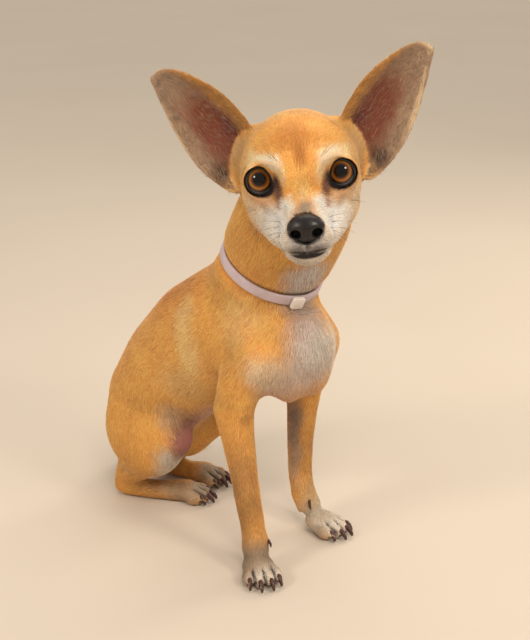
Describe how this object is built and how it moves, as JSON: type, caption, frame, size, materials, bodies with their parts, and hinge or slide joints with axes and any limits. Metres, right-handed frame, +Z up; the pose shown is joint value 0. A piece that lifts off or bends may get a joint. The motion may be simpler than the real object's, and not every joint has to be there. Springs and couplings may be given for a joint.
{
  "type": "seated chihuahua",
  "caption": "Life-size short-haired chihuahua sitting upright on the floor, head turned to its right and ears raised, wearing a slim collar with a square slide.",
  "frame": {"origin": "on the floor, at the middle of the rectangle that the dog covers", "axes": "+Z up from the floor; the dog's body faces -Y and its left side is towards +X"},
  "size_m": [0.1507, 0.3031, 0.3643],
  "materials": {
    "coat_fawn": "short, flat, golden fawn fur",
    "coat_cream": "short cream fur with dark brown claws",
    "ear_skin": "thinly haired mauve-pink skin",
    "eye": "wet, clear, amber-brown",
    "nose_leather": "moist, finely pebbled, near black",
    "collar_leather": "matte pale mauve",
    "slide_plastic": "satin cream"
  },
  "bodies": {
    "root": {"head": "coat_fawn", "neck": "coat_fawn", "torso": "coat_fawn", "tail": "coat_fawn", "foreleg_right": "coat_fawn", "foreleg_left": "coat_fawn", "hindleg_right": "coat_fawn", "hindleg_left": "coat_fawn", "forepaw_right": "coat_cream", "forepaw_left": "coat_cream", "hindpaw_right": "coat_cream", "hindpaw_left": "coat_cream", "ear_right": "ear_skin", "ear_left": "ear_skin", "eye_right": "eye", "eye_left": "eye", "nose": "nose_leather", "collar_band": "collar_leather", "collar_slide": "slide_plastic"}
  },
  "joints": []
}
